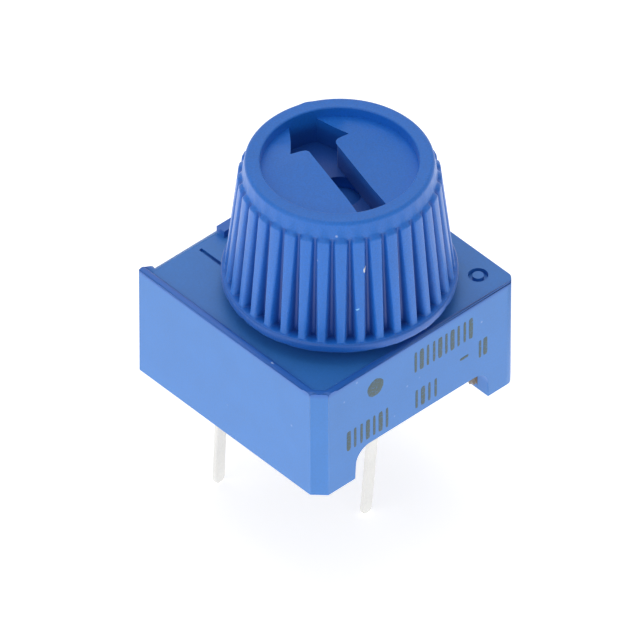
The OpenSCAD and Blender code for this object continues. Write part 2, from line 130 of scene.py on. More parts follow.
# %% [markdown]
# The knob's outside is a surface of two parameters: the angle round the axis, and the place along
# a profile that runs from the bore, under the skirt, up the ribs and over the rim into the dish.
# The sizes are those of the solid model.

# %% Knob sizes
KNOB_Z, RIM_Z = float(knob_low[2]), float(knob_high[2])
FLANGE_R, FLANGE_T, FLANGE_EDGE = 4.13, 0.39, 0.08
RIBS, RIB_OFFSET = 36, 2.6
RIB_FOOT_R, RIB_TOP_R = 4.01, 3.53
GROOVE_FOOT, GROOVE_TOP = 0.38, 0.16
VALLEY_FOOT, VALLEY_TOP, FLANK_SLOPE, RIB_END_RUN = 0.088, 0.040, 0.25, 0.13
RIB_CORNER, RIB_CROWN, SOFT_FOOT = 0.9, 0.03, 0.12
BAND_H, RIM_R, RIM_EDGE = 0.63, 3.31, 0.17
DISH_R, DISH_DEPTH = 2.755, 0.41
SLOT_DEPTH, SLOT_EDGE, SIGHT_R = 1.08, 0.05, 0.80
SHAFT_HALF, BARB_HALF, BARB_X, BARB_SWEEP = 0.56, 1.19, 1.46, 0.11
POINT_HALF = math.radians(27.7)
HUB_R, BORE_R, BORE_TOP, HOLLOW_TOP = 1.9, 1.23, 8.34, 8.01

FLANGE_Z = KNOB_Z + FLANGE_T
RIB_END_Z = RIM_Z - BAND_H
DISH_Z = RIM_Z - DISH_DEPTH
SLOT_Z = DISH_Z - SLOT_DEPTH
WALL_LEVELS = DISH_Z - 0.5, SLOT_Z

# %% [markdown]
# The arrow slot is cut through the dish. Its outline is a few straight lines: the shaft's two
# sides, the barbs and the point, which the dish's wall cuts off. The corners where the shaft meets
# the head are softly rounded, as moulded plastic is.

# %% Arrow outline
def meet_circle(p, direction, radius):
    """Where a line from p first meets the circle of that radius, ahead of p."""
    d = direction / np.hypot(*direction)
    along = p @ d
    return p + d * (-along + math.sqrt(along**2 - p @ p + radius**2))


def rounded_corner(before, corner, after, radius, steps=6):
    """Arc that touches both lines at a corner: centre on the bisector, radius as given."""
    a = (before - corner) / np.hypot(*(before - corner))
    b = (after - corner) / np.hypot(*(after - corner))
    half = math.acos(np.clip(a @ b, -1, 1)) / 2
    centre = corner + (a + b) / np.hypot(*(a + b)) * radius / math.sin(half)
    start, end = corner + a * radius / math.tan(half), corner + b * radius / math.tan(half)
    t = np.linspace(0, 1, steps)[:, None]
    chord = start * (1 - t) + end * t - centre
    return centre + chord / np.hypot(chord[:, 0], chord[:, 1])[:, None] * radius


def side_outline(side):
    """One side of the arrow from the head's cut-off end back to the tail, as an array of points."""
    barb = np.array([BARB_X, BARB_HALF])
    notch = np.array([BARB_X - BARB_SWEEP, SHAFT_HALF])
    head = meet_circle(barb, np.array([math.cos(POINT_HALF), -math.sin(POINT_HALF)]), DISH_R)
    tail = meet_circle(np.array([0, SHAFT_HALF]), np.array([-1.0, 0.0]), DISH_R)
    hole_x = math.sqrt(SIGHT_R**2 - SHAFT_HALF**2)
    radius = 0.14 if side > 0 else 0.22
    corner = rounded_corner(barb, notch, tail, radius)
    shaft = np.array([[hole_x, SHAFT_HALF], [0, SHAFT_HALF], [-hole_x, SHAFT_HALF], [-1.5, SHAFT_HALF]])
    line = np.vstack([head, barb * 0.5 + head * 0.5, barb, corner, shaft, tail])
    return line * np.array([1, side])


LEFT, RIGHT = side_outline(1), side_outline(-1)
print("arrow side has", len(LEFT), "points; head meets the dish wall at", LEFT[0].round(3))

# %% [markdown]
# The columns of the knob's grid stand closest together on the ribs' flanks. A few extra columns
# are put exactly where the arrow meets the dish wall and the sight hole, so that the flat faces
# and the walls share their points.

# %% Columns of the knob's grid
half_pitch = math.pi / RIBS
spread = np.array([0, .15, .28, .36, .43, .5, .56, .62, .67, .72, .77, .82, .87, .92, .96, 1.0])
inside = np.concatenate([-spread[1:-1][::-1], spread])
rib_angles = math.radians(RIB_OFFSET) + 2 * half_pitch * np.arange(RIBS)
columns = (rib_angles[:, None] + half_pitch * inside[None, :]).ravel()
ends = [math.atan2(p[1], p[0]) for side in (LEFT, RIGHT) for p in (side[0], side[-1])]
hole = math.asin(SHAFT_HALF / SIGHT_R)
columns = np.concatenate([columns, ends, [hole, -hole, math.pi - hole, math.pi + hole]])
columns = np.sort(np.mod(columns, 2 * math.pi))
print(len(columns), "columns,", RIBS, "ribs")

# %% [markdown]
# Each rib is a bar laid on the cone. Seen flat, its outline is a rectangle with round corners, and
# the distance in from that outline gives its height: it bends out of the groove's floor, rises
# steeply along the rib and gently at its upper end, and rounds over into a slightly crowned top.
# This gives the soft shoulders and the arched upper end of a moulded rib.

# %% Height of the ribs over the cone
def groove_floor(z):
    """Radius of the cone that the grooves' floors lie on: straight from the flange to the band."""
    t = (z - FLANGE_Z) / (RIB_END_Z - FLANGE_Z)
    return (RIB_FOOT_R - GROOVE_FOOT) * (1 - t) + (RIB_TOP_R - GROOVE_TOP) * t


def rib_height(angle, z):
    """Height over the cone: distance inside a round-cornered bar, as a steep flank that bends
    smoothly out of the groove's floor and into the bar's crowned top; the upper end slopes less."""
    t = np.clip((z - FLANGE_Z) / (RIB_END_Z - FLANGE_Z), 0, 1)
    radius = groove_floor(z)
    turn = angle - math.radians(RIB_OFFSET)
    turn = np.mod(turn + half_pitch, 2 * half_pitch) - half_pitch
    across = np.abs(turn) * radius
    half_w = half_pitch * radius - VALLEY_FOOT * (1 - t) - VALLEY_TOP * t
    corner = RIB_CORNER * half_w
    down = RIB_END_Z + 0.03 - z
    qx, qy = across - half_w + corner, corner - down
    px, py = np.maximum(qx, 0), np.maximum(qy, 0)
    outside = np.hypot(px, py) + np.minimum(np.maximum(qx, qy), 0) - corner
    height = GROOVE_FOOT * (1 - t) + GROOVE_TOP * t
    endwards = py**2 / np.maximum(px**2 + py**2, 1e-9)
    flank = -outside / ((FLANK_SLOPE * height + 0.01) * (1 - endwards) + RIB_END_RUN * endwards)
    flank = 0.5 * (flank + np.sqrt(flank**2 + SOFT_FOOT))
    blend = np.clip(0.5 + (1 - flank), 0, 1)
    rise = (1 - blend) + blend * flank - 0.5 * blend * (1 - blend)
    crown = RIB_CROWN * np.clip(across / half_w, 0, 1) ** 2
    return height * np.clip(rise, 0, 1) - crown * np.clip(rise, 0, 1)


# %% [markdown]
# The profile is a list of rows. Every row gives a radius and a height for all columns at once, so
# a row may be a plain circle or may follow the ribs. Real flanges come out of the mould with a
# little flash, so the flange's lower edge wavers by a few hundredths of a millimetre.

# %% Rows of the knob's grid
def arc(r, z, radius, start_deg, end_deg, steps):
    """Points of an arc in the profile plane, as (radius from the axis, height) pairs."""
    a = np.radians(np.linspace(start_deg, end_deg, steps))
    return np.stack([r + radius * np.cos(a), z + radius * np.sin(a)], axis=1)


def flash(angle):
    """Waver of the flange's lower edge: a few sines of different pitch and two small nicks."""
    wave = 0.012 * np.sin(5 * angle + 0.6) + 0.008 * np.sin(17 * angle + 2) + 0.006 * np.sin(41 * angle)
    for at, size in ((-2.50, 0.05), (-1.98, 0.04), (-0.4, 0.03), (1.7, 0.04)):
        gap = np.mod(angle - at + math.pi, 2 * math.pi) - math.pi
        wave = wave + size * np.exp(-(gap / 0.035) ** 2)
    return wave


def knob_rows():
    """Rows of the grid as (radii, heights), from the sight hole round the outside to the dish."""
    one = np.ones_like(columns)
    rows = [(r * one, z * one) for r, z in [
        (SIGHT_R, SLOT_Z), (SIGHT_R, BORE_TOP), (BORE_R, BORE_TOP), (BORE_R, KNOB_Z),
        (HUB_R, KNOB_Z), (HUB_R, HOLLOW_TOP), (2.68, HOLLOW_TOP), (2.97, KNOB_Z)]]
    low = arc(FLANGE_R - FLANGE_EDGE, KNOB_Z + FLANGE_EDGE, FLANGE_EDGE, -90, 0, 5)
    high = arc(FLANGE_R - 0.10, FLANGE_Z - 0.11, 0.10, 0, 66, 6)
    waver = flash(columns)
    rows += [(3.6 * one, KNOB_Z * one)]
    rows += [(r * one - 0.3 * waver, z * one + waver * 0.8) for r, z in low]
    rows += [(r * one, z * one) for r, z in high]
    foot = groove_floor(FLANGE_Z * one) + rib_height(columns, FLANGE_Z * one)
    ledge = RIB_FOOT_R + 0.012
    rows += [(ledge * one, (FLANGE_Z - 0.012) * one)]
    rows += [(foot * (1 - t) + ledge * t, FLANGE_Z + 0.02 * (1 - t) ** 2 * one) for t in (0.7, 0.35)]
    near_end = np.array([.6, .45, .34, .27, .22, .18, .15, .12, .1, .08,
                         .06, .045, .03, .015, 0, -.015, -.03, -.05])
    body = np.linspace(FLANGE_Z + 0.03, RIB_END_Z - 0.7, 14)
    for z in np.concatenate([body, RIB_END_Z - near_end]):
        rows.append((groove_floor(z * one) + rib_height(columns, z * one), z * one))
    top = arc(RIM_R - RIM_EDGE, RIM_Z - RIM_EDGE, RIM_EDGE, 5, 90, 7)
    bump = 0.035 * np.exp(-((np.mod(columns + 0.12 + math.pi, 2 * math.pi) - math.pi) / 0.06) ** 2)
    rows += [(r + bump, z * one) for r, z in top]
    lip = arc(DISH_R + 0.07, RIM_Z - 0.07, 0.07, 90, 180, 5)
    rows += [(r * one, z * one) for r, z in lip]
    rows += [(DISH_R * one, (DISH_Z + 0.2) * one), (DISH_R * one, DISH_Z * one)]
    return rows


rows = knob_rows()
radii, heights = (np.array(v) for v in zip(*rows))
skin = np.stack([radii * np.cos(columns), radii * np.sin(columns), heights], axis=-1)
print("knob grid:", skin.shape[:2])

# %% [markdown]
# The dish's floor and the slot's floor are flat, with curved and straight edges. They are cut into
# triangles from their outlines, and the slot's walls join the two levels. The upper edge of a
# wall is rounded by stepping its outline outwards as it rises, less and less towards both ends.

# %% Flat faces and slot walls
def circle_points(start, end, radius):
    """The grid's own columns between two angles, both included, as points on a circle."""
    span = np.mod(end - start, 2 * math.pi)
    offset = np.mod(columns - start + 1e-9, 2 * math.pi) - 1e-9
    picked = np.sort(offset[offset <= span + 1e-9]) + start
    return np.stack([radius * np.cos(picked), radius * np.sin(picked)], axis=1)


def flat_patch(outline, z, up=True):
    """Triangles inside a closed outline at height z, facing up or down."""
    keep = np.hypot(*(outline - np.roll(outline, 1, axis=0)).T) > 1e-6
    ring = outline[keep]
    n = len(ring)
    verts, _, faces, *_ = delaunay_2d_cdt([Vector(p) for p in ring], [(i, (i + 1) % n) for i in range(n)],
                                          [], 1, 1e-7)
    flat = np.array([(v.x, v.y, z) for v in verts])
    turned = []
    for face in faces:
        a, b, c = (flat[i] for i in face[:3])
        area = (b[0] - a[0]) * (c[1] - a[1]) - (b[1] - a[1]) * (c[0] - a[0])
        turned.append(face if (area > 0) == up else face[::-1])
    return flat, turned


def wall_patch(line, side):
    """Slot wall under one side of the arrow, with its upper edge rounded over."""
    ahead = np.gradient(line, axis=0)
    out = np.stack([ahead[:, 1], -ahead[:, 0]], axis=1) / np.hypot(ahead[:, 0], ahead[:, 1])[:, None]
    run = np.concatenate([[0], np.cumsum(np.hypot(*np.diff(line, axis=0).T))])
    size = SLOT_EDGE * np.clip(np.minimum(run, run[-1] - run) / 0.2, 0, 1)
    levels = []
    for a in np.radians([0, 30, 60, 90]):
        shift = (size * (1 - math.sin(a)))[:, None] * out * side
        z = DISH_Z - size * (1 - math.cos(a))
        levels.append(np.column_stack([line + shift, z]))
    levels += [np.column_stack([line, np.full(len(line), z)]) for z in WALL_LEVELS]
    grid = np.array(levels)
    quads = grid_quads(len(levels), len(line), False)
    return grid.reshape(-1, 3), (quads if side > 0 else quads[:, ::-1]), levels[0][:, :2]


angle_of = lambda p: math.atan2(p[1], p[0])
left_wall, left_faces, left_top = wall_patch(LEFT, -1)
right_wall, right_faces, right_top = wall_patch(RIGHT, 1)
left_lobe = np.vstack([circle_points(angle_of(LEFT[0]), angle_of(LEFT[-1]), DISH_R), left_top[::-1]])
right_lobe = np.vstack([circle_points(angle_of(RIGHT[-1]), angle_of(RIGHT[0]), DISH_R), right_top])
hole_x = math.sqrt(SIGHT_R**2 - SHAFT_HALF**2)
ahead = LEFT[:, 0] >= hole_x - 1e-9
behind = LEFT[:, 0] <= -hole_x + 1e-9
head_floor = np.vstack([circle_points(angle_of(RIGHT[0]), angle_of(LEFT[0]), DISH_R), LEFT[ahead],
                        circle_points(-hole, hole, SIGHT_R)[::-1], RIGHT[ahead][::-1]])
tail_floor = np.vstack([circle_points(angle_of(LEFT[-1]), angle_of(RIGHT[-1]), DISH_R), RIGHT[behind][::-1],
                        circle_points(math.pi - hole, math.pi + hole, SIGHT_R)[::-1], LEFT[behind]])
middle = ~ahead & ~behind
left_cap = np.vstack([circle_points(hole, math.pi - hole, SIGHT_R), [[-hole_x, SHAFT_HALF]],
                      LEFT[middle][::-1], [[hole_x, SHAFT_HALF]]])
right_cap = np.vstack([circle_points(math.pi + hole, 2 * math.pi - hole, SIGHT_R), [[hole_x, -SHAFT_HALF]],
                       RIGHT[middle], [[-hole_x, -SHAFT_HALF]]])

# %% [markdown]
# Where the arrow runs into the dish's wall, the wall goes on down to the slot's floor. Then all
# patches are joined, turned to the arrow's direction and set on the rotor's axis.

# %% Join the knob
def arc_wall(start, end):
    """The dish wall carried down to the slot floor between two angles."""
    line = circle_points(start, end, DISH_R)
    grid = np.array([np.column_stack([line, np.full(len(line), z)]) for z in (DISH_Z, *WALL_LEVELS)])
    return grid.reshape(-1, 3), grid_quads(3, len(line), False)


def placed(points):
    """Turns points to the arrow's direction and moves them to the rotor's axis."""
    c, s = math.cos(ARROW_TURN), math.sin(ARROW_TURN)
    x, y, z = np.asarray(points).T
    return np.stack([c * x - s * y + AXIS[0], s * x + c * y + AXIS[1], z], axis=1)


patches = [
    (skin.reshape(-1, 3), grid_quads(len(rows), len(columns), True)),
    flat_patch(left_lobe, DISH_Z), flat_patch(right_lobe, DISH_Z),
    flat_patch(head_floor, SLOT_Z), flat_patch(tail_floor, SLOT_Z),
    flat_patch(left_cap, SLOT_Z, up=False), flat_patch(right_cap, SLOT_Z, up=False),
    (left_wall, left_faces), (right_wall, right_faces),
    arc_wall(angle_of(RIGHT[0]), angle_of(LEFT[0])),
    arc_wall(angle_of(LEFT[-1]), angle_of(RIGHT[-1])),
]
knob = build_mesh("fluted_knob", [(placed(p), f) for p, f in patches])
smooth(knob, 40)


def painted_shade_share(obj):
    """For each point, its share of painted shade by how deep it lies: 0 on the ribs' tops and the dish, up
    to 1 in grooves and slot, 0.4 on the flange's outer face.
    """
    flat = np.empty(3 * len(obj.data.vertices))
    obj.data.vertices.foreach_get("co", flat)
    x, y, z = (flat.reshape(-1, 3) / MM).T
    r = np.hypot(x - AXIS[0], y - AXIS[1])
    t = np.clip((z - FLANGE_Z) / (RIB_END_Z - FLANGE_Z), 0, 1)
    outer = RIB_FOOT_R * (1 - t) + RIB_TOP_R * t
    full = GROOVE_FOOT * (1 - t) + GROOVE_TOP * t
    share = np.clip((outer - r) / full, 0, 1) * (full / GROOVE_FOOT)
    share = np.where((z > FLANGE_Z) & (z < RIB_END_Z - 0.05) & (r > 3.2), share, 0.0)
    share = np.where((z < FLANGE_Z - 0.02) & (r > 3.9), 0.4, share)
    slot = np.clip((DISH_Z - 0.02 - z) / 0.5, 0, 1) * 0.6
    return np.where((r < DISH_R + 0.01) & (z > SLOT_Z - 0.01), slot, share)


# Each point of the knob keeps its share of painted shade, which the knob's material reads.
deep = painted_shade_share(knob)
knob.data.attributes.new("groove", "FLOAT", "POINT").data.foreach_set("value", deep)
print("deepest groove share", deep.max().round(2))
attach(knob, "rotor_group")
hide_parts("knob")

# %% [markdown]
# The housing has the right shape in the solid model, but its edges are knife sharp. A merged copy
# gets a fine Bevel, so that the edges catch the light as moulded edges do. An edge weight says
# how much of it each edge gets: inner creases and the fine marks in the top stay sharp. Weighted
# normals keep the walls even, and the top face is shaded flat, so that no corner streaks it.

# %% Rounded copy of the housing
SHARP_DEG, FLAT_DEG = 28, 1.0
CORNER_SOFTNESS, EDGE_SOFTNESS = 1.0, 0.3


def edge_weight(edge):
    """Share of the full width that an edge gets: all of it at the soft right corners, less at other
    outer edges, none at inner creases and at the fine marks in the top."""
    if len(edge.link_faces) != 2 or not edge.is_convex or edge.calc_face_angle(0) < math.radians(SHARP_DEG):
        return 0.0
    if edge.calc_length() < 0.12 * MM or min(f.calc_area() for f in edge.link_faces) < 0.05 * MM**2:
        return 0.0
    a, b = (np.array(v.co) / MM for v in edge.verts)
    if max(abs(a[0]), abs(b[0]), abs(a[1]), abs(b[1])) < 4.3 and min(a[2], b[2]) > house_high[2] - 0.6:
        return 0.0
    upright = abs(a[2] - b[2]) > 0.98 * np.linalg.norm(a - b)
    outer = min(a[0], b[0]) > house_high[0] - 0.5 and upright and abs(a[2] - b[2]) > 3
    return CORNER_SOFTNESS if outer else EDGE_SOFTNESS


def rounded_copy(node, name, width, segments, body):
    """Copies a frame node, merges its loose triangles into flat faces and bevels the weighted edges."""
    source = frame["nodes"][node]
    work = bmesh.new()
    work.from_mesh(source.data)
    bmesh.ops.remove_doubles(work, verts=work.verts, dist=1e-6)
    bmesh.ops.dissolve_limit(work, angle_limit=math.radians(FLAT_DEG), verts=work.verts, edges=work.edges)
    work.edges.ensure_lookup_table()
    weights = [edge_weight(edge) for edge in work.edges]
    mesh = bpy.data.meshes.new(name)
    work.to_mesh(mesh)
    work.free()
    mesh.attributes.new("bevel_weight_edge", "FLOAT", "EDGE").data.foreach_set("value", weights)
    obj = bpy.data.objects.new(name, mesh)
    bpy.context.scene.collection.objects.link(obj)
    smooth(obj, SHARP_DEG)
    for face in mesh.polygons:
        face.use_smooth = not (face.normal.z > 0.999 and face.area > 0.2 * MM**2)
    bevel = obj.modifiers.new("soft_edges", "BEVEL")
    bevel.width = width * MM
    bevel.segments = segments
    bevel.limit_method = "WEIGHT"
    bevel.use_clamp_overlap = False
    even = obj.modifiers.new("flat_faces", "WEIGHTED_NORMAL")
    even.keep_sharp = True
    print(sum(w > 0 for w in weights), "edges rounded,", weights.count(CORNER_SOFTNESS), "of them widely")
    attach(obj, body)
    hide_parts(node)
    print(name, "from", len(source.data.polygons), "triangles to", len(mesh.polygons), "faces")
    return obj


housing = rounded_copy("housing", "moulded_housing", 0.17, 4, "base")

# %% [markdown]
# A leg is stamped from tinned strip, so its edges are softly rolled and its tip is round. A bevelled
# box would do, but a surface is neater: a flat, round-cornered section is carried down a path, its
# width swells at the shoulder and closes at the tip, and the path leans aside below the board.

# %% Tinned legs
LEG_W, LEG_T, LEG_DOWN = 0.46, 0.20, 5.15
SHOULDER_W, SHOULDER_Z, LEG_TOP = 0.90, (1.65, 1.95), 2.75
PITCH = 2.54
LEGS = {
    # number: (place on the board, how far the tip leans aside)
    1: ((-PITCH, PITCH), (-0.27, -0.05)),
    2: ((0.0, -PITCH), (-0.09, 0.37)),
    3: ((PITCH, PITCH), (-0.2, 0.12)),
}


def leg_surface(number):
    """Section: a squared-off oval. Path: straight down to the board, then leaning to the bent tip."""
    (x, y), (shift_x, shift_y) = LEGS[number]
    half = LEG_W / 2
    tip = half * (1 - np.cos(np.radians([8, 20, 34, 48, 62, 76, 90])))
    z = np.concatenate([-LEG_DOWN + tip, [-4.2, -3.4, -2.6, -1.8, -1, -0.3, 0, 0.3, 1.0],
                        [SHOULDER_Z[0] - 0.005, SHOULDER_Z[0] + 0.005, SHOULDER_Z[1] - 0.005],
                        [SHOULDER_Z[1] + 0.005, LEG_TOP - 0.03, LEG_TOP]])
    wide = np.full(len(z), half)
    wide[:len(tip)] = np.sqrt(half**2 - (half - tip) ** 2)
    wide[(z > SHOULDER_Z[0]) & (z < SHOULDER_Z[1])] = SHOULDER_W / 2
    thick = np.full(len(z), LEG_T / 2)
    thick[:3] *= np.array([0.55, 0.8, 0.95])
    wide[-1], thick[-1] = wide[-1] - 0.03, thick[-1] - 0.03
    a = np.linspace(0, 2 * math.pi, 40, endpoint=False)
    power = lambda v, n: np.sign(v) * np.abs(v) ** (2 / n)
    lean = np.clip(-z / LEG_DOWN, 0, 1)
    points = np.stack([x + lean[:, None] * shift_x + wide[:, None] * power(np.cos(a), 9),
                       y + lean[:, None] * shift_y + thick[:, None] * power(np.sin(a), 4),
                       np.broadcast_to(z[:, None], (len(z), len(a)))], axis=-1)
    caps = [list(range(len(a)))[::-1], [(len(z) - 1) * len(a) + i for i in range(len(a))]]
    leg = build_mesh(f"tinned_leg_{number}", [(points.reshape(-1, 3),
                                              [*grid_quads(len(z), len(a), True), *caps])])
    smooth(leg, 35)
    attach(leg, "base")
    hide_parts(f"terminal_{number}")
    return leg


legs = [leg_surface(number) for number in LEGS]

# %% [markdown]
# The front wall carries plain ink marks: three rows of upright bars, a dash with two bars, and a
# dot. Each is a lens-shaped film of ink: a squared-off oval that thins out to nothing at its rim,
# half sunk in the wall. A flat picture of them would do, but a film keeps its edge at any distance.

# %% Plain ink marks
FRONT_Y = float(house_low[1])
THIN, THICK = 0.06, 0.1
BAR_ROWS = [
    # places along the wall, height, half length, half widths
    (np.arange(-0.2, 2.45, 0.29), 3.72, 0.47,
     [THIN, THICK, THIN, THIN, THICK, THIN, THICK, THIN, THIN, THICK]),
    (np.arange(-3.35, -1.3, 0.3), 1.98, 0.45, [THICK, THIN, THIN, THICK, THIN, THICK, THIN]),
    (np.arange(-0.15, 0.8, 0.3), 1.98, 0.42, [THIN, THICK, THIN, THIN]),
]
DASH_AND_BARS = [(2.1, 2.55, 0.2, 0.06), (2.85, 2.5, THIN, 0.4), (3.1, 2.5, THICK, 0.4)]
DOT = (-2.1, 3.72, 0.38, 0.38)
INK_MARKS = [(x, z, w, length) for places, z, length, widths in BAR_ROWS for x, w in zip(places, widths)]
INK_MARKS += [*DASH_AND_BARS, DOT]
print(len(INK_MARKS), "ink marks")


def ink_film(x, z, half_w, half_h):
    """A closed lens: ovals of growing size at the front, the full rim, and the same ovals at the back."""
    sides = 32
    a = np.linspace(0, 2 * math.pi, sides, endpoint=False)
    blunt = 2.0 if abs(half_w - half_h) < 1e-6 else 5.0
    edge = lambda v: np.sign(v) * np.abs(v) ** (2 / blunt)
    size = np.array([0.001, 0.6, 0.9, 1.0, 0.9, 0.6, 0.001])[:, None]
    depth = np.array([-1, -1, -0.8, 0, 0.8, 1, 1])[:, None] * 0.008 + 0 * a
    ragged = 1 + 0.02 * np.sin(5 * a + 3 * x) + 0.015 * np.sin(11 * a + 7 * x)
    points = np.stack([x + half_w * size * edge(np.cos(a)) * ragged, FRONT_Y + depth,
                       z + half_h * size * edge(np.sin(a)) * ragged], axis=-1)
    caps = [list(range(sides))[::-1], [(len(size) - 1) * sides + i for i in range(sides)]]
    return points.reshape(-1, 3), [*grid_quads(len(size), sides, True), *caps]


ink = build_mesh("ink_marks", [ink_film(*mark) for mark in INK_MARKS], merge=1e-6)
smooth(ink, 40)
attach(ink, "base")

# %% [markdown]
# Liquid resin creeps a little way up the corners that it meets before it sets. It shows as a brown
# film on the inner side of the two front feet, seen through the opening. Each film is a thin sheet
# over the foot's side with a wavy lower edge, which fades into the plastic.

# %% Resin on the feet
FOOT_SIDES = {"resin_creep_left": (-3.01, 1), "resin_creep_right": (3.25, -1)}


def creep_film(name, x, facing):
    """Sheet over the foot's side: two skins whose gap swells in the middle and closes all round."""
    u = np.linspace(0, 1, 15)[:, None]
    v = np.linspace(0, 1, 17)[None, :]
    y = FRONT_Y + 0.54 + 0.50 * u + 0 * v
    low = 0.10 + 0.10 * np.sin(5 * u + 1) + 0.05 * np.sin(13 * u)
    z = low * (1 - v) + 1.38 * v + 0 * u
    swell = 0.035 * (np.sin(math.pi * u) * np.sin(math.pi * np.sqrt(v))) ** 0.4
    front = np.stack([x + facing * (0.004 + swell), y, z], axis=-1).reshape(-1, 3)
    back = np.stack([x + facing * 0.004 - facing * 0.02 * (swell > 1e-6), y, z], axis=-1).reshape(-1, 3)
    # The front skin faces the way the foot's side does, so its quads turn with it
    quads = grid_quads(u.shape[0], v.shape[1], False)[:, ::-facing]
    film = build_mesh(name, [(front, quads), (back, quads[:, ::-1])])
    smooth(film, 60)
    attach(film, "base")
    return film


films = [creep_film(name, x, facing) for name, (x, facing) in FOOT_SIDES.items()]

# %% [markdown]
# Moulded plastic is never one flat colour. A shared node group gives it slow blotches of tone, a
# fine grain and a few pale dust specks, all at their real size: the blotches are about a
# millimetre across, the grain a few hundredths.

# %% Moulded surface group
def new_group(name, inputs, outputs):
    """Makes a shader node group with the named sockets and returns it with its end nodes."""
    group = bpy.data.node_groups.new(name, "ShaderNodeTree")
    for label, kind, value in inputs:
        socket = group.interface.new_socket(label, in_out="INPUT", socket_type=kind)
        socket.default_value = value
    for label, kind in outputs:
        group.interface.new_socket(label, in_out="OUTPUT", socket_type=kind)
    return group, group.nodes.new("NodeGroupInput"), group.nodes.new("NodeGroupOutput")


def moulded_group():
    """Group: tone, grain and dust for moulded or cast pieces."""
    group, ins, outs = new_group(
        "moulded_surface",
        [("Color", "NodeSocketColor", (0.5, 0.5, 0.5, 1)), ("Blotch", "NodeSocketFloat", 0.06),
         ("Speckle", "NodeSocketFloat", 0.2), ("Dust", "NodeSocketFloat", 0.5),
         ("Rough", "NodeSocketFloat", 0.4), ("Grain", "NodeSocketFloat", 9000.0)],
        [("Color", "NodeSocketColor"), ("Roughness", "NodeSocketFloat"), ("Height", "NodeSocketFloat")])
    add, link = group.nodes.new, group.links.new
    where = add("ShaderNodeTexCoord")
    slow, fine = add("ShaderNodeTexNoise"), add("ShaderNodeTexNoise")
    slow.inputs["Scale"].default_value = 900
    slow.inputs["Detail"].default_value = 3
    fine.inputs["Detail"].default_value = 3
    link(ins.outputs["Grain"], fine.inputs["Scale"])
    dots = add("ShaderNodeTexVoronoi")
    dots.inputs["Scale"].default_value = 1700
    for texture in (slow, fine, dots):
        link(where.outputs["Object"], texture.inputs["Vector"])
    tone = add("ShaderNodeMath")
    tone.operation = "SUBTRACT"
    tone.inputs[1].default_value = 0.5
    link(slow.outputs["Fac"], tone.inputs[0])
    speckle = add("ShaderNodeMath")
    speckle.operation = "SUBTRACT"
    speckle.inputs[1].default_value = 0.5
    link(fine.outputs["Fac"], speckle.inputs[0])
    grain = add("ShaderNodeMath")
    grain.operation = "MULTIPLY_ADD"
    grain.inputs[2].default_value = 1.0
    link(speckle.outputs[0], grain.inputs[0])
    link(ins.outputs["Speckle"], grain.inputs[1])
    scale = add("ShaderNodeMath")
    scale.operation = "MULTIPLY_ADD"
    link(tone.outputs[0], scale.inputs[0])
    link(ins.outputs["Blotch"], scale.inputs[1])
    link(grain.outputs[0], scale.inputs[2])
    shade = add("ShaderNodeVectorMath")
    shade.operation = "SCALE"
    link(ins.outputs["Color"], shade.inputs[0])
    link(scale.outputs[0], shade.inputs["Scale"])
    near = add("ShaderNodeMapRange")
    near.inputs["From Min"].default_value = 0.05
    near.inputs["From Max"].default_value = 0.11
    near.inputs["To Min"].default_value = 1
    near.inputs["To Max"].default_value = 0
    link(dots.outputs["Distance"], near.inputs["Value"])
    rare = add("ShaderNodeSeparateColor")
    link(dots.outputs["Color"], rare.inputs[0])
    pick = add("ShaderNodeMath")
    pick.operation = "GREATER_THAN"
    pick.inputs[1].default_value = 0.93
    link(rare.outputs[0], pick.inputs[0])
    speck = add("ShaderNodeMath")
    speck.operation = "MULTIPLY"
    link(near.outputs[0], speck.inputs[0])
    link(pick.outputs[0], speck.inputs[1])
    amount = add("ShaderNodeMath")
    amount.operation = "MULTIPLY"
    link(speck.outputs[0], amount.inputs[0])
    link(ins.outputs["Dust"], amount.inputs[1])
    mix = add("ShaderNodeMix")
    mix.data_type = "RGBA"
    mix.inputs["B"].default_value = (0.55, 0.68, 0.9, 1)
    link(amount.outputs[0], mix.inputs["Factor"])
    link(shade.outputs[0], mix.inputs["A"])
    link(mix.outputs["Result"], outs.inputs["Color"])
    rough = add("ShaderNodeMath")
    rough.operation = "MULTIPLY_ADD"
    rough.inputs[1].default_value = 0.14
    link(fine.outputs["Fac"], rough.inputs[0])
    link(ins.outputs["Rough"], rough.inputs[2])
    link(rough.outputs[0], outs.inputs["Roughness"])
    relief = add("ShaderNodeMath")
    relief.operation = "MULTIPLY_ADD"
    relief.inputs[1].default_value = 0.35
    link(slow.outputs["Fac"], relief.inputs[0])
    link(fine.outputs["Fac"], relief.inputs[2])
    link(relief.outputs[0], outs.inputs["Height"])
    return group


MOULDED = moulded_group()
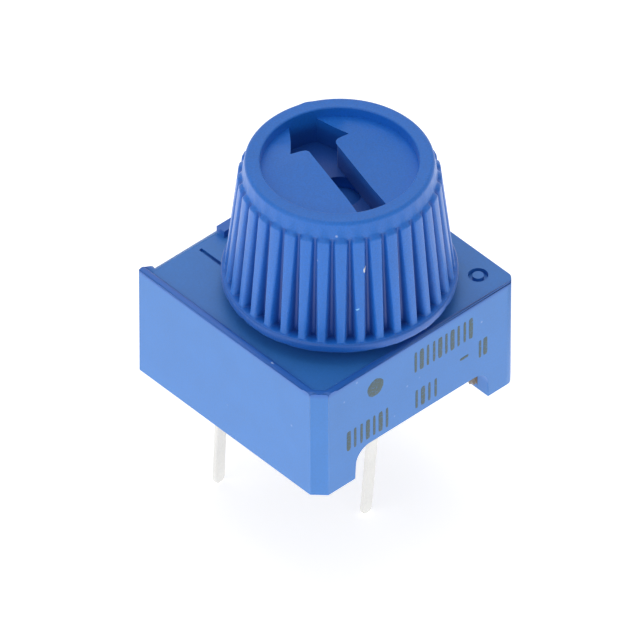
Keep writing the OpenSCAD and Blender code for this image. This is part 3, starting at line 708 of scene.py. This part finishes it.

# %% [markdown]
# A used part has a few marks of its own: a white chip and a scratch on two ribs, a nick on the
# lip. Another group gives a mask for one such mark, or for a strip of painted shade: the distance
# from its middle, measured in units of its size, with noise added so that its outline is ragged. A
# helper then mixes the mark's colour over the finish that is there already.

# %% Scuff and painted shade mask group
def scuff_or_shade_group():
    """Group: 1 inside a ragged ellipsoid about a place, 0 outside it."""
    group, ins, outs = new_group(
        "scuff_or_shade_mask",
        [("Place", "NodeSocketVector", (0, 0, 0)), ("Turn", "NodeSocketVector", (0, 0, 0)),
         ("Size", "NodeSocketVector", (1, 1, 1)), ("Ragged", "NodeSocketFloat", 0.5)],
        [("Mask", "NodeSocketFloat")])
    add, link = group.nodes.new, group.links.new
    where = add("ShaderNodeTexCoord")
    away = add("ShaderNodeVectorMath")
    away.operation = "SUBTRACT"
    link(where.outputs["Object"], away.inputs[0])
    link(ins.outputs["Place"], away.inputs[1])
    turned = add("ShaderNodeVectorRotate")
    turned.rotation_type = "EULER_XYZ"
    link(away.outputs[0], turned.inputs["Vector"])
    link(ins.outputs["Turn"], turned.inputs["Rotation"])
    scaled = add("ShaderNodeVectorMath")
    scaled.operation = "DIVIDE"
    link(turned.outputs[0], scaled.inputs[0])
    link(ins.outputs["Size"], scaled.inputs[1])
    length = add("ShaderNodeVectorMath")
    length.operation = "LENGTH"
    link(scaled.outputs[0], length.inputs[0])
    noise = add("ShaderNodeTexNoise")
    noise.inputs["Scale"].default_value = 14000
    link(where.outputs["Object"], noise.inputs["Vector"])
    rough = add("ShaderNodeMath")
    rough.operation = "MULTIPLY_ADD"
    link(noise.outputs["Fac"], rough.inputs[0])
    link(ins.outputs["Ragged"], rough.inputs[1])
    link(length.outputs["Value"], rough.inputs[2])
    mask = add("ShaderNodeMapRange")
    mask.inputs["From Min"].default_value = 0.9
    mask.inputs["From Max"].default_value = 1.15
    mask.inputs["To Min"].default_value = 1
    mask.inputs["To Max"].default_value = 0
    link(rough.outputs[0], mask.inputs["Value"])
    link(mask.outputs[0], outs.inputs["Mask"])
    return group


SCUFF_OR_SHADE = scuff_or_shade_group()


def mix_over(material, amount, color):
    """Mixes a colour over what already feeds Base Color, by an amount that changes over the piece."""
    nodes, link = material.node_tree.nodes, material.node_tree.links.new
    base = nodes["Principled BSDF"].inputs["Base Color"]
    before = base.links[0].from_socket
    mix = nodes.new("ShaderNodeMix")
    mix.data_type = "RGBA"
    mix.inputs["B"].default_value = (*color, 1)
    link(amount, mix.inputs["Factor"])
    link(before, mix.inputs["A"])
    link(mix.outputs["Result"], base)


def add_scuff_or_shade(material, place, turn_deg, size, ragged, color):
    """Puts one mark of use, or one strip of painted shade, on a material, at a place and with a size in mm.
    """
    mark = material.node_tree.nodes.new("ShaderNodeGroup")
    mark.node_tree = SCUFF_OR_SHADE
    mark.inputs["Place"].default_value = [v * MM for v in place]
    mark.inputs["Turn"].default_value = [math.radians(v) for v in turn_deg]
    mark.inputs["Size"].default_value = [v * MM for v in size]
    mark.inputs["Ragged"].default_value = ragged
    mix_over(material, mark.outputs["Mask"], color)


# %% [markdown]
# All finishes start from one recipe. It reads colour, roughness and relief from the moulded
# surface group, and sets what is the same all over the piece on the shader itself.

# %% Material recipe
def plain_material(name, color, blotch, dust, rough, grain, bump,
                   metallic=0.0, coat=0.0, shine=0.5, sheen=0.0, speckle=0.2):
    """A material that takes colour, roughness and relief from the moulded surface group."""
    material = bpy.data.materials.new(name)
    material.use_nodes = True
    nodes, link = material.node_tree.nodes, material.node_tree.links.new
    shader = nodes["Principled BSDF"]
    shader.inputs["Metallic"].default_value = metallic
    shader.inputs["Coat Weight"].default_value = coat
    shader.inputs["Specular IOR Level"].default_value = shine
    shader.inputs["Sheen Weight"].default_value = sheen
    shader.inputs["Sheen Roughness"].default_value = 0.35
    surface = nodes.new("ShaderNodeGroup")
    surface.node_tree = MOULDED
    for label, value in (("Color", (*color, 1)), ("Blotch", blotch), ("Dust", dust), ("Rough", rough),
                         ("Grain", grain), ("Speckle", speckle)):
        surface.inputs[label].default_value = value
    relief = nodes.new("ShaderNodeBump")
    relief.inputs["Distance"].default_value = 13e-6
    relief.inputs["Strength"].default_value = bump
    link(surface.outputs["Color"], shader.inputs["Base Color"])
    link(surface.outputs["Roughness"], shader.inputs["Roughness"])
    link(surface.outputs["Height"], relief.inputs["Height"])
    link(relief.outputs["Normal"], shader.inputs["Normal"])
    return material


# %% [markdown]
# Each piece then gets its own values. The housing is a matte blue, the knob a deeper and slightly
# smoother one. The legs are dull tin. The pieces inside are dressed too, because the model may be
# opened: white ceramic, dark film, silver conductors and brown resin.

# %% Finishes
FINISH = {
    "housing_blue": plain_material("housing_blue", (0.028, 0.190, 0.58), 0.14, 0.25, 0.40, 13000, 0.2,
                                   shine=0.66, sheen=0.05, speckle=0.25),
    "knob_blue": plain_material("knob_blue", (0.006, 0.15, 0.60), 0.14, 0.5, 0.36, 15000, 0.6,
                                shine=0.5, sheen=0.12, speckle=0.5),
    "rotor_blue": plain_material("rotor_blue", (0.02, 0.15, 0.60), 0.10, 0.2, 0.3, 8000, 0.3),
    "seal_rubber": plain_material("seal_rubber", (0.015, 0.015, 0.016), 0.2, 0.3, 0.55, 7000, 0.4),
    "spring_alloy": plain_material("spring_alloy", (0.78, 0.62, 0.32), 0.1, 0.0, 0.22, 15000, 0.2, 1.0),
    "white_ceramic": plain_material("white_ceramic", (0.82, 0.80, 0.75), 0.06, 0.0, 0.45, 12000, 0.4),
    "dark_cermet": plain_material("dark_cermet", (0.02, 0.02, 0.022), 0.3, 0.2, 0.4, 16000, 0.6),
    "silver_film": plain_material("silver_film", (0.66, 0.63, 0.56), 0.2, 0.0, 0.4, 16000, 0.5, 0.8),
    "dull_tin": plain_material("dull_tin", (0.60, 0.595, 0.575), 0.14, 0.0, 0.36, 14000, 0.6, 0.75),
    "solder_alloy": plain_material("solder_alloy", (0.72, 0.73, 0.75), 0.1, 0.0, 0.22, 6000, 0.4, 1.0),
    "brown_resin": plain_material("brown_resin", (0.06, 0.035, 0.022), 0.3, 0.2, 0.14, 2500, 0.5, 0.0, 0.4),
}
DRESSED = {
    "rotor": "rotor_blue", "seal_ring": "seal_rubber", "wiper": "spring_alloy",
    "ceramic_plate": "white_ceramic", "resistive_track": "dark_cermet", "collector_film": "silver_film",
    "end_film_1": "silver_film", "end_film_3": "silver_film", "solder_1": "solder_alloy",
    "solder_2": "solder_alloy", "solder_3": "solder_alloy", "potting": "brown_resin",
}
knob.data.materials.append(FINISH["knob_blue"])
housing.data.materials.append(FINISH["housing_blue"])
for leg in legs:
    leg.data.materials.append(FINISH["dull_tin"])
for node, finish in DRESSED.items():
    for slot in frame["nodes"][node].material_slots:
        slot.link = "OBJECT"
        slot.material = FINISH[finish]
print("finishes:", len(FINISH))

# %% [markdown]
# Stamped ink is patchy: it takes on the raised grain and misses the hollows. Noise at two sizes
# mixes the ink's grey-green with the blue that shows through.

# %% Ink
def ink_material():
    """Grey-green where fine and coarse noise together pass a threshold, worn blue elsewhere."""
    material = plain_material("worn_ink", (0.06, 0.10, 0.10), 0.3, 0.0, 0.5, 12000, 0.5)
    nodes, link = material.node_tree.nodes, material.node_tree.links.new
    where = nodes.new("ShaderNodeTexCoord")
    grains = []
    for scale in (30000, 14000):
        noise = nodes.new("ShaderNodeTexNoise")
        noise.inputs["Scale"].default_value = scale
        noise.inputs["Detail"].default_value = 2
        link(where.outputs["Object"], noise.inputs["Vector"])
        grains.append(noise.outputs["Fac"])
    both = nodes.new("ShaderNodeMath")
    link(grains[0], both.inputs[0])
    link(grains[1], both.inputs[1])
    gaps = nodes.new("ShaderNodeMapRange")
    gaps.inputs["From Min"].default_value = 1.0
    gaps.inputs["From Max"].default_value = 1.4
    link(both.outputs[0], gaps.inputs["Value"])
    mix_over(material, gaps.outputs[0], (0.05, 0.17, 0.42))
    return material


ink.data.materials.append(ink_material())
for film in films:
    film.data.materials.append(FINISH["brown_resin"])

# %% [markdown]
# Painted shade makes the lips, and the knob's grooves, slot and flange, deeper in tone than the faces
# round them. The marks of use, and one strip of painted shade, are placed by their position on the
# object: the chip and the scratch sit on two ribs at the front of the knob, the nick on the left lip,
# and a strip of painted shade fills the straight groove in the top.

# %% Painted shade and marks of use
def on_knob(u_mm, z):
    """Point on the ribs' outer cone, u_mm to the right of the rotor's axis as seen from the front left."""
    t = (z - FLANGE_Z) / (RIB_END_Z - FLANGE_Z)
    radius = RIB_FOOT_R * (1 - t) + RIB_TOP_R * t
    angle = -VIEW_AZIMUTH - math.acos(u_mm / radius)
    return (AXIS[0] + radius * math.cos(angle), AXIS[1] + radius * math.sin(angle), z)


def paint_groove_shade(material, color):
    """Mixes painted shade, a deep tone, over the base colour by the groove attribute."""
    nodes, link = material.node_tree.nodes, material.node_tree.links.new
    share = nodes.new("ShaderNodeAttribute")
    share.attribute_name = "groove"
    amount = nodes.new("ShaderNodeMapRange")
    amount.inputs["From Min"].default_value = 0.1
    amount.inputs["From Max"].default_value = 0.75
    amount.inputs["To Max"].default_value = 0.9
    link(share.outputs["Fac"], amount.inputs["Value"])
    mix_over(material, amount.outputs[0], color)


def paint_lip_shade(material, low, high, color):
    """Mixes painted shade, a deeper tone, over the base colour from one height to another, above the
    housing's top.
    """
    nodes, link = material.node_tree.nodes, material.node_tree.links.new
    where, height = nodes.new("ShaderNodeTexCoord"), nodes.new("ShaderNodeSeparateXYZ")
    link(where.outputs["Object"], height.inputs[0])
    amount = nodes.new("ShaderNodeMapRange")
    amount.inputs["From Min"].default_value = low * MM
    amount.inputs["From Max"].default_value = high * MM
    amount.inputs["To Max"].default_value = 0.6
    link(height.outputs["Z"], amount.inputs["Value"])
    mix_over(material, amount.outputs[0], color)


# Painted shade on the housing's lips, deeper towards their tops.
LIP_SHADE_FROM, LIP_SHADE_FULL = 4.51, 4.64
paint_lip_shade(FINISH["housing_blue"], LIP_SHADE_FROM, LIP_SHADE_FULL, (0.006, 0.10, 0.50))
# Painted shade in the knob's grooves, slot and flange.
paint_groove_shade(FINISH["knob_blue"], (0.004, 0.045, 0.27))
MARKS_AND_SHADE = {
    # name: (finish, place, turn in degrees, half sizes, raggedness, colour)
    "chip": ("knob_blue", on_knob(0.88, 8.35), (0, 0, 42), (0.07, 0.25, 0.13), 0.4, (0.9, 0.9, 0.85)),
    "scratch": ("knob_blue", on_knob(0.62, 6.75), (0, 35, 42), (0.09, 0.25, 0.03), 0.5, (0.25, 0.6, 0.95)),
    "nick": ("housing_blue", (-4.62, -2.3, 4.66), (0, 0, 0), (0.06, 0.12, 0.10), 0.6, (0.45, 0.62, 0.9)),
    # Painted shade along the straight groove in the top of the housing.
    "groove_shade": ("housing_blue", (-2.3, house_high[1] - 1.5, 4.45), (0, 0, 0),
                     (0.085, 1.05, 0.2), 0.15, (0.014, 0.11, 0.45)),
}
for finish, *mark in MARKS_AND_SHADE.values():
    add_scuff_or_shade(FINISH[finish], *mark)
print("marks of use:", list(MARKS_AND_SHADE))

# %% [markdown]
# The picture is taken with a very long lens from the front left, looking down at 42 degrees. A
# point in the middle of the view and a distance give the camera's place.

# %% Camera
def add_camera():
    """A long lens that looks along the view direction at the point in the picture's middle."""
    azimuth, elevation = VIEW_AZIMUTH, VIEW_ELEVATION
    pixels_per_mm, picture, distance = 28.65, 640, 700.0
    origin_at = (325.5, 370.9)
    right = np.array([math.cos(azimuth), -math.sin(azimuth), 0])
    ahead = np.array([math.sin(azimuth) * math.cos(elevation), math.cos(azimuth) * math.cos(elevation),
                      -math.sin(elevation)])
    up = np.cross(right, ahead)
    middle = right * (picture / 2 - origin_at[0]) / pixels_per_mm
    middle = middle + up * (origin_at[1] - picture / 2) / pixels_per_mm
    lens = bpy.data.cameras.new("camera")
    lens.sensor_width = 36
    lens.lens = 36 * pixels_per_mm * distance / picture
    lens.clip_start, lens.clip_end = 0.01, 10
    camera = bpy.data.objects.new("camera", lens)
    camera.location = Vector((middle - ahead * distance) * MM)
    camera.rotation_euler = Vector(ahead).to_track_quat("-Z", "Y").to_euler()
    bpy.context.scene.collection.objects.link(camera)
    bpy.context.scene.camera = camera
    return lens.lens


print("lens", round(add_camera()), "mm")

# %% [markdown]
# The floor is a pale sheet at the legs' tips, like the lit white table of a photo booth. Its own
# glow lights the upright faces, which is why they are brighter than the top, and it fades with
# distance. Reflections see a little more of it. For the camera it glows less, so that the shadow
# on it stays.

# %% Floor
TABLE_GLOW, FAR_GLOW, GLOSSY_GLOW, CAMERA_GLOW = 0.9, 0.15, 0.25, 0.58
FADE_FROM, FADE_TO = 0.03, 0.12


def add_floor():
    """A round pale sheet: rings of points about the middle, at the height of the legs' tips."""
    angles = np.linspace(0, 2 * math.pi, 64, endpoint=False)
    rings = np.array([0.0, 30, 200, 900])
    shape = len(rings), len(angles)
    grid = np.stack([rings[:, None] * np.cos(angles), rings[:, None] * np.sin(angles),
                     np.full(shape, floor_z / MM)], axis=-1)
    floor = build_mesh("floor_sheet", [(grid.reshape(-1, 3), grid_quads(*shape, True)[:, ::-1])])
    material = bpy.data.materials.new("pale_paper")
    material.use_nodes = True
    nodes, link = material.node_tree.nodes, material.node_tree.links.new
    shader = nodes["Principled BSDF"]
    shader.inputs["Base Color"].default_value = (0.86, 0.86, 0.86, 1)
    shader.inputs["Roughness"].default_value = 0.9
    shader.inputs["Specular IOR Level"].default_value = 0.1
    shader.inputs["Emission Color"].default_value = (1, 1, 1, 1)
    rays = nodes.new("ShaderNodeLightPath")
    where = nodes.new("ShaderNodeTexCoord")
    away = nodes.new("ShaderNodeVectorMath")
    away.operation = "LENGTH"
    link(where.outputs["Object"], away.inputs[0])
    fade = nodes.new("ShaderNodeMapRange")
    fade.interpolation_type = "SMOOTHSTEP"
    for label, value in (("From Min", FADE_FROM), ("From Max", FADE_TO),
                         ("To Min", TABLE_GLOW), ("To Max", FAR_GLOW)):
        fade.inputs[label].default_value = value
    link(away.outputs["Value"], fade.inputs["Value"])
    shiny = nodes.new("ShaderNodeMath")
    shiny.operation = "MULTIPLY_ADD"
    shiny.inputs[1].default_value = GLOSSY_GLOW
    link(rays.outputs["Is Glossy Ray"], shiny.inputs[0])
    link(fade.outputs[0], shiny.inputs[2])
    glow = nodes.new("ShaderNodeMix")
    glow.data_type = "FLOAT"
    glow.inputs["B"].default_value = CAMERA_GLOW
    link(rays.outputs["Is Camera Ray"], glow.inputs["Factor"])
    link(shiny.outputs[0], glow.inputs["A"])
    link(glow.outputs[0], shader.inputs["Emission Strength"])
    floor.data.materials.append(material)


add_floor()

# %% [markdown]
# A soft panel hangs overhead and a little behind, so that the knob shades the top face in front
# of it, and a weak one at the left makes the left flank of every rib a touch brighter than the
# right one. The surroundings give an even fill.

# %% Light
FILL, WHITE = 0.53, 1.0


def add_panel(name, azimuth_deg, elevation_deg, distance, size, power):
    """A square soft panel that faces the object from a direction given as two angles."""
    a, e = math.radians(azimuth_deg), math.radians(elevation_deg)
    place = Vector((math.cos(e) * math.cos(a), math.cos(e) * math.sin(a), math.sin(e))) * distance
    lamp = bpy.data.lights.new(name, "AREA")
    lamp.shape = "SQUARE"
    lamp.size = size
    lamp.energy = power
    holder = bpy.data.objects.new(name, lamp)
    holder.location = place
    holder.rotation_euler = (-place).to_track_quat("-Z", "Y").to_euler()
    bpy.context.scene.collection.objects.link(holder)


def add_world():
    """Even surroundings: white where the camera or a reflection sees them, dimmer as a fill light."""
    world = bpy.data.worlds.new("studio")
    bpy.context.scene.world = world
    world.use_nodes = True
    nodes, link = world.node_tree.nodes, world.node_tree.links.new
    rays = nodes.new("ShaderNodeLightPath")
    seen = nodes.new("ShaderNodeMath")
    seen.operation = "MAXIMUM"
    link(rays.outputs["Is Camera Ray"], seen.inputs[0])
    link(rays.outputs["Is Glossy Ray"], seen.inputs[1])
    level = nodes.new("ShaderNodeMapRange")
    level.inputs["To Min"].default_value = FILL
    level.inputs["To Max"].default_value = WHITE
    link(seen.outputs[0], level.inputs["Value"])
    link(level.outputs[0], nodes["Background"].inputs["Strength"])
    nodes["Background"].inputs["Color"].default_value = (1, 1, 1, 1)


add_panel("left_panel", 185, 30, 0.4, 0.3, 0.25)
add_panel("top_panel", 60, 72, 0.4, 0.3, 0.35)
add_world()
bpy.context.scene.view_settings.view_transform = "Standard"

# %% [markdown]
# Last, the view layer is brought up to date.

# %% Finish
bpy.context.view_layer.update()
